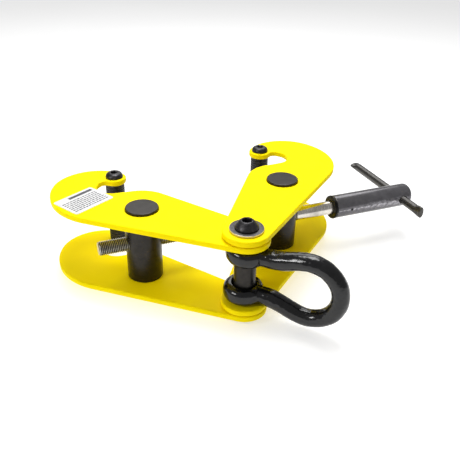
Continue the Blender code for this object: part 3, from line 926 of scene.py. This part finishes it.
def shackle(finish):
    """Eyes and bow melted into one forging, with uneven hammer scale, then bored for the pin."""
    half = EAR_T / 2
    corners = [
        (EAR_CORE_R, -half, 0),
        (EAR_R, -half, EAR_FILLET),
        (EAR_R, half, EAR_FILLET),
        (EAR_CORE_R, half, 0),
    ]
    section = rounded(corners, EAR_CORNER_STEPS)
    ears = [turned(section, Matrix.Translation((0, 0, w))) for w in (EAR_W, -EAR_W)]
    obj = helper(joined([swept(shackle_path(), SHACKLE_SIDES), *ears]))
    remesh = obj.modifiers.new("remesh", "REMESH")
    remesh.mode = "VOXEL"
    remesh.voxel_size = SHACKLE_VOXEL
    smooth = obj.modifiers.new("smooth", "SMOOTH")
    smooth.factor = SMOOTH_FACTOR
    smooth.iterations = SMOOTH_PASSES
    bpy.context.view_layer.update()
    mesh = evaluated_mesh(obj)
    normals = [v.normal.copy() for v in mesh.vertices]
    for vertex, normal in zip(mesh.vertices, normals):
        broad = noise.noise(vertex.co * BROAD_SCALE)
        dents = noise.noise(vertex.co * DENT_SCALE + DENT_SHIFT)
        vertex.co += normal * (BROAD_HEIGHT * broad + DENT_HEIGHT * dents)
    bore = cutter(EAR_HOLE_R, -EAR_BORE_REACH, EAR_BORE_REACH)
    mouths = []
    for w in (EAR_W, -EAR_W):
        for end in (-1, 1):
            face = w + end * half
            narrow = (EAR_HOLE_R - EAR_MOUTH_INSET[0], face - end * EAR_MOUTH_INSET[1])
            wide = (EAR_HOLE_R + EAR_MOUTH[0], face + end * EAR_MOUTH[1])
            mouths.append(turned([narrow, wide], None, BORE_SIDES))
    mesh = cut(mesh, bore, *mouths)
    rest = high("right_lower_plate").z + CLEARANCE + EAR_W + half + SHACKLE_LIFT
    turn = Matrix.Rotation(SHACKLE_ANGLE, 4, "Z") @ Matrix.Rotation(SHACKLE_DROOP, 4, "Y")
    mesh.transform(Matrix.Translation((0, 0, rest)) @ turn)
    piece("shackle_forged", mesh, finish, "shackle", "black_paint", "shackle")


# Spindle and handle

def thread(start, end, hand, chamfer_start, chamfer_end):
    """A solid screw thread along Z.

    The hand is 1 for a right-hand thread and -1 for a left-hand one. A few spare turns past each
    end are cut off flat.
    """
    sides = THREAD_SIDES
    per_turn = len(THREAD_SHAPE)
    bm = bmesh.new()
    turns = math.ceil((end - start) / THREAD_PITCH) + 2 * THREAD_SPARE_TURNS
    rows = [(turn + share, depth) for turn in range(turns) for share, depth in THREAD_SHAPE]
    grid = []
    for at, depth in rows:
        row = []
        for j in range(sides):
            angle = FULL * j / sides
            z = start + (at - THREAD_SPARE_TURNS + j / sides) * THREAD_PITCH
            radius = THREAD_R - depth
            if chamfer_start:
                radius = min(radius, THREAD_R - THREAD_CHAMFER + max(z - start, 0))
            if chamfer_end:
                radius = min(radius, THREAD_R - THREAD_CHAMFER + max(end - z, 0))
            row.append(bm.verts.new((radius * math.cos(angle), hand * radius * math.sin(angle), z)))
        grid.append(row)
    for k in range(len(grid) - 1):
        for j in range(sides - 1):
            bm.faces.new((grid[k][j], grid[k][j + 1], grid[k + 1][j + 1], grid[k + 1][j]))
        above = k + per_turn
        if above + 1 < len(grid):
            bm.faces.new((grid[k][-1], grid[above][0], grid[above + 1][0], grid[k + 1][-1]))
    for z, keep_above in ((start, True), (end, False)):
        everything = bm.verts[:] + bm.edges[:] + bm.faces[:]
        bmesh.ops.bisect_plane(bm, geom=everything, plane_co=(0, 0, z), plane_no=(0, 0, 1),
                               clear_inner=keep_above, clear_outer=not keep_above)
        boundary = [e for e in bm.edges if e.is_boundary]
        rim = [e for e in boundary if all(abs(v.co.z - z) < ROUND_OFF for v in e.verts)]
        bmesh.ops.contextual_create(bm, geom=rim)
    bmesh.ops.delete(bm, geom=[v for v in bm.verts if not v.link_faces], context="VERTS")
    return finished(bm)


def handle_pin_cutter():
    """The hole for the handle pin, across a shank or sleeve whose axis is at zero."""
    across = Matrix.Translation((HANDLE_PIN_X, 0, 0)) @ ALONG_Y
    return cutter(HANDLE_PIN_R + CLEARANCE, -HOLE_REACH, HOLE_REACH, across, PIN_SIDES)


def spindle(thread_finish, shank_finish):
    """The two threads, the neck between them and the plain shank."""
    axis = middle("left_trunnion")
    place = Matrix.Translation((0, axis.y, middle("spindle").z)) @ ALONG_X
    left = low("spindle").x
    right_hand = thread(left, -RELIEF_HALF, 1, True, True)
    left_hand = thread(RELIEF_HALF, SHANK_START, -1, True, False)
    for name, mesh in (("spindle_right_hand_thread", right_hand), ("spindle_left_hand_thread", left_hand)):
        mesh.transform(place)
        piece(name, mesh, thread_finish, "screw", "bare_steel")
    neck_end = RELIEF_HALF + NECK_OVERLAP
    neck = [
        (NECK_CORE_R, -neck_end, 0),
        (RELIEF_R, -neck_end, 0),
        (RELIEF_R, neck_end, 0),
        (NECK_CORE_R, neck_end, 0),
    ]
    piece("spindle_neck", turned(rounded(neck), place), thread_finish, "screw", "bare_steel")
    shank_end = high("spindle").x
    shank = [
        (SHANK_CORE_R, SHANK_START, 0),
        (SHANK_R, SHANK_START, SHANK_START_RIM),
        (SHANK_R, shank_end, SHANK_END_RIM),
        (SHANK_CORE_R, shank_end, 0),
    ]
    body = cut(turned(rounded(shank), ALONG_X), handle_pin_cutter())
    body.transform(Matrix.Translation((0, axis.y, middle("spindle").z)))
    piece("spindle_shank", body, shank_finish, "screw", "bare_steel", "spindle")


def handle_sleeve(finish):
    """The sleeve over the end of the shank, rounded at its far end and bored for bar and pin."""
    centre = middle("handle_sleeve")
    start = low("handle_sleeve").x
    end = high("handle_sleeve").x
    radius = (high("handle_sleeve").z - low("handle_sleeve").z) / 2
    corners = [
        (radius - SLEEVE_START_LAND, start, 0),
        (radius, start, SLEEVE_START_RIM),
        (radius, end, SLEEVE_END_FILLET),
        (radius - SLEEVE_END_FILLET - SLEEVE_END_LAND, end, 0),
    ]
    bar_place = Matrix.Translation((middle("tommy_bar").x, 0, 0)) @ ALONG_Y
    bore_end = high("spindle").x + SLEEVE_BORE_END
    tools = [
        cutter(SHANK_R + CLEARANCE, start - SLEEVE_BORE_START, bore_end, ALONG_X),
        cutter(BAR_R + CLEARANCE, -HOLE_REACH, HOLE_REACH, bar_place, BORE_SIDES),
        handle_pin_cutter(),
    ]
    inner, outer = BAR_MOUTH_SHARES
    for side in (-1, 1):
        reach = side * radius
        narrow = (BAR_R - BAR_MOUTH_INSET, reach * inner)
        wide = (BAR_R + BAR_MOUTH, reach * outer)
        tools.append(turned([narrow, wide], bar_place, BORE_SIDES))
    body = cut(turned(rounded(corners, SLEEVE_CORNER_STEPS), ALONG_X, SLEEVE_SIDES), *tools)
    body.transform(Matrix.Translation((0, centre.y, centre.z)))
    piece("handle_sleeve_turned", body, finish, "screw", "dark_steel", "handle_sleeve")


def handle_pin(finish):
    """The small cross pin, a little below the surface of the sleeve."""
    centre = middle("handle_sleeve")
    radius = (high("handle_sleeve").z - low("handle_sleeve").z) / 2
    half = radius - HANDLE_PIN_RECESS
    across = Matrix.Translation((HANDLE_PIN_X, 0, 0)) @ ALONG_Y
    pin = capped_rod(HANDLE_PIN_R, -half, half, HANDLE_PIN_RIM, across, PIN_SIDES)
    pin.transform(Matrix.Translation((0, centre.y, centre.z)))
    piece("handle_pin_round", pin, finish, "screw", "dark_steel", "handle_pin")


def thrust_washer(finish):
    """The black ring on the shank at the sleeve's end."""
    centre = middle("handle_sleeve")
    first = low("thrust_washer").x
    last = high("thrust_washer").x
    outer = (high("thrust_washer").z - low("thrust_washer").z) / 2
    hole_r = SHANK_R + CLEARANCE
    section = [
        (hole_r, (first + last) / 2, 0),
        (hole_r, first, RING_HOLE_RIMS[0]),
        (outer, first, RING_OUTER_RIMS[0]),
        (outer, last, RING_OUTER_RIMS[1]),
        (hole_r, last, RING_HOLE_RIMS[1]),
        (hole_r, (first + last) / 2, 0),
    ]
    ring = turned(rounded(section, RING_CORNER_STEPS)[:-1], ALONG_X, ring=True)
    ring.transform(Matrix.Translation((0, centre.y, centre.z)))
    piece("thrust_washer_ring", ring, finish, "ring", "black_oxide", "thrust_washer")


def tommy_bar(finish):
    """The sliding bar. Its far end is hammered flat from above, and its near end from the sides."""
    centre = middle("tommy_bar")
    half = (high("tommy_bar").y - low("tommy_bar").y) / 2
    edge = BAR_EDGE
    rim = [(BAR_R - BAR_LAND_SHARE * edge, -half)]
    for k in range(BAR_EDGE_STEPS + 1):
        angle = QUARTER * k / BAR_EDGE_STEPS
        rim.append((BAR_R - edge * (1 - math.sin(angle)), -half + edge * (1 - math.cos(angle))))
    plain = 2 * half - 2 * edge
    middle_rows = [(BAR_R, -half + edge + plain * k / BAR_ROWS) for k in range(1, BAR_ROWS)]
    profile = rim + middle_rows + [(r, -z) for r, z in reversed(rim)]
    mesh = turned(profile, None, BAR_SIDES)
    for vertex in mesh.vertices:
        flat = (abs(vertex.co.z) - (half - BAR_END_LENGTH)) / (BAR_END_SLOPE * BAR_END_LENGTH)
        flat = eased(min(max(flat, 0), 1))
        hammered = HAMMER_HEIGHT * flat * noise.noise(vertex.co * HAMMER_SCALE)
        thin = 1 + (BAR_END_THIN - 1) * flat
        wide = 1 + (BAR_END_WIDE - 1) * flat
        far = vertex.co.z > 0
        vertex.co.x *= wide if far else thin
        vertex.co.y *= thin if far else wide
        vertex.co += Vector((hammered, hammered, 0))
    mesh.transform(Matrix.Translation(centre) @ ALONG_Y)
    piece("tommy_bar_forged", mesh, finish, "bar", "dark_steel", "tommy_bar")


# Label

def label_film(finish):
    """A sheet with round corners on the left upper plate."""
    node = "rating_label"
    centre = middle(node)
    half_x = LABEL_SIZE[0] / 2
    half_y = LABEL_SIZE[1] / 2
    outline = []
    for quarter, (sx, sy) in enumerate(((1, 1), (-1, 1), (-1, -1), (1, -1))):
        corner = (sx * (half_x - LABEL_CORNER_R), sy * (half_y - LABEL_CORNER_R))
        start = QUARTER * quarter
        outline += arc(corner, LABEL_CORNER_R, start, start + QUARTER, LABEL_CORNER_STEP)
    turn = Matrix.Rotation(LABEL_TURN, 2)
    outline = [turn @ p + centre.xy for p in outline]
    mesh = plate_solid([outline], low(node).z, high(node).z, LABEL_EDGE_R, LABEL_EDGE_STEPS)
    piece("rating_label_film", mesh, finish, "left_jaw", "label_white", node)


def print_boxes():
    """Generic print as (left, right, lower, upper) boxes: one bar, and rows of uneven dashes."""
    half_x = LABEL_SIZE[0] / 2
    half_y = LABEL_SIZE[1] / 2
    inner_x = half_x - PRINT_MARGIN
    line_y = half_y - PRINT_MARGIN
    boxes = [(PRINT_BAR_START * half_x, inner_x, line_y - PRINT_BAR_HEIGHT, line_y)]
    line_y -= PRINT_BAR_HEIGHT + PRINT_PITCH
    row = 0
    while line_y > PRINT_MARGIN - half_y:
        at = -inner_x
        while at < inner_x - PRINT_HEIGHT:
            draw = noise.noise(Vector((at * DASH_STEP, row * DASH_ROW_STEP, DASH_SHIFT)))
            long = 0.5 + 0.5 * draw
            end = min(at + PRINT_HEIGHT * (DASH_SHORTEST + DASH_SPREAD * long), inner_x)
            boxes.append((at, end, line_y - PRINT_HEIGHT, line_y))
            at = end + DASH_GAP * PRINT_HEIGHT
        line_y -= PRINT_PITCH
        row += 1
    return boxes


def label_print(finish):
    """The print, laid on top of the film."""
    centre = middle("rating_label")
    top = high("rating_label").z
    bm = bmesh.new()
    for left, right, lower, upper in print_boxes():
        size = Vector((right - left, upper - lower, PRINT_T))
        place = Vector(((left + right) / 2, (lower + upper) / 2, 0))
        for vertex in bmesh.ops.create_cube(bm, size=1)["verts"]:
            vertex.co = vertex.co * size + place
    lift = Matrix.Translation((centre.x, centre.y, top + PRINT_T / 2))
    turn = Matrix.Rotation(LABEL_TURN, 4, "Z")
    piece("rating_label_print", finished(bm, lift @ turn), finish, "left_jaw", "label_white")


# Stage

def area_light(name, place, size, watts):
    """A soft rectangular light aimed at the object and hidden from the camera."""
    data = bpy.data.lights.new(name, "AREA")
    data.shape = "RECTANGLE"
    data.size = size[0]
    data.size_y = size[1]
    data.energy = watts
    lamp = bpy.data.objects.new(name, data)
    bpy.context.scene.collection.objects.link(lamp)
    lamp.location = place
    lamp.rotation_euler = (LIGHT_TARGET - place).to_track_quat("-Z", "Y").to_euler()
    lamp.visible_camera = False


def stage():
    """The floor, the lights and the surrounding glow."""
    bm = bmesh.new()
    bmesh.ops.create_grid(bm, x_segments=FLOOR_PARTS, y_segments=FLOOR_PARTS, size=FLOOR_SIZE)
    mesh = finished(bm, Matrix.Translation((0, 0, CAD_BOX[0].z)))
    mesh.materials.append(floor_finish())
    floor = bpy.data.objects.new("floor", mesh)
    bpy.context.scene.collection.objects.link(floor)

    for light in LIGHTS:
        area_light(*light)

    world = bpy.data.worlds.new("studio")
    world.use_nodes = True
    background = world.node_tree.nodes["Background"]
    background.inputs["Color"].default_value = (1, 1, 1, 1)
    background.inputs["Strength"].default_value = WORLD_STRENGTH
    bpy.context.scene.world = world
    bpy.context.scene.view_settings.view_transform = "Standard"


def camera():
    data = bpy.data.cameras.new("camera")
    data.lens = CAMERA_LENS_MM
    data.sensor_width = CAMERA_SENSOR_MM
    data.clip_start = CAMERA_CLIP_START
    made = bpy.data.objects.new("camera", data)
    bpy.context.scene.collection.objects.link(made)
    turn = Matrix.Rotation(CAMERA_AZIMUTH, 4, "Z")
    tilt = Matrix.Rotation(QUARTER - CAMERA_ELEVATION, 4, "X")
    roll = Matrix.Rotation(CAMERA_ROLL, 4, "Z")
    made.matrix_world = Matrix.Translation(CAMERA_PLACE) @ turn @ tilt @ roll
    bpy.context.scene.camera = made


def build():
    yellow = yellow_paint()
    block_steel = dark_steel("trunnion_steel", (0.033, 0.030, 0.027), 0.30, (30, 30, 900), grain=0.3)
    sleeve_color = (0.13, 0.126, 0.136)
    sleeve_steel = dark_steel("sleeve_steel", sleeve_color, 0.22, (900, 8, 8), grain=0.02, metallic=0.6)
    bar_steel = dark_steel("bar_steel", (0.075, 0.072, 0.068), 0.28, (120, 120, 120))
    shank_steel = bare_steel("shank_steel", (0.78, 0.74, 0.68), 0.18, (1600, 12, 12))
    threads = thread_steel()
    oxide = black_oxide()
    for side_name in ("left", "right"):
        for level in ("lower", "upper"):
            jaw_plate(side_name, level, yellow)
        trunnion(side_name, block_steel)
        tip_rod(side_name, oxide)
    for place, degrees in TIP_SCREW_TURNS.items():
        body = f"{place.split('_')[0]}_jaw"
        upward = place.endswith("upper")
        button_screw(f"{place}_tip_screw", TIP_SCREW, body, oxide, upward, math.radians(degrees))
    pivot(block_steel, washer_steel())
    button_screw("pivot_screw", PIVOT_SCREW, "pivot", oxide, True, math.radians(PIVOT_SCREW_TURN))
    shackle(forged_black())
    spindle(threads, shank_steel)
    ring_black = black_oxide("ring_black", (0.010, 0.010, 0.010))
    handle_sleeve(sleeve_steel)
    handle_pin(oxide)
    thrust_washer(ring_black)
    tommy_bar(bar_steel)
    label_film(label_paper())
    label_print(label_ink())
    stage()
    camera()


build()
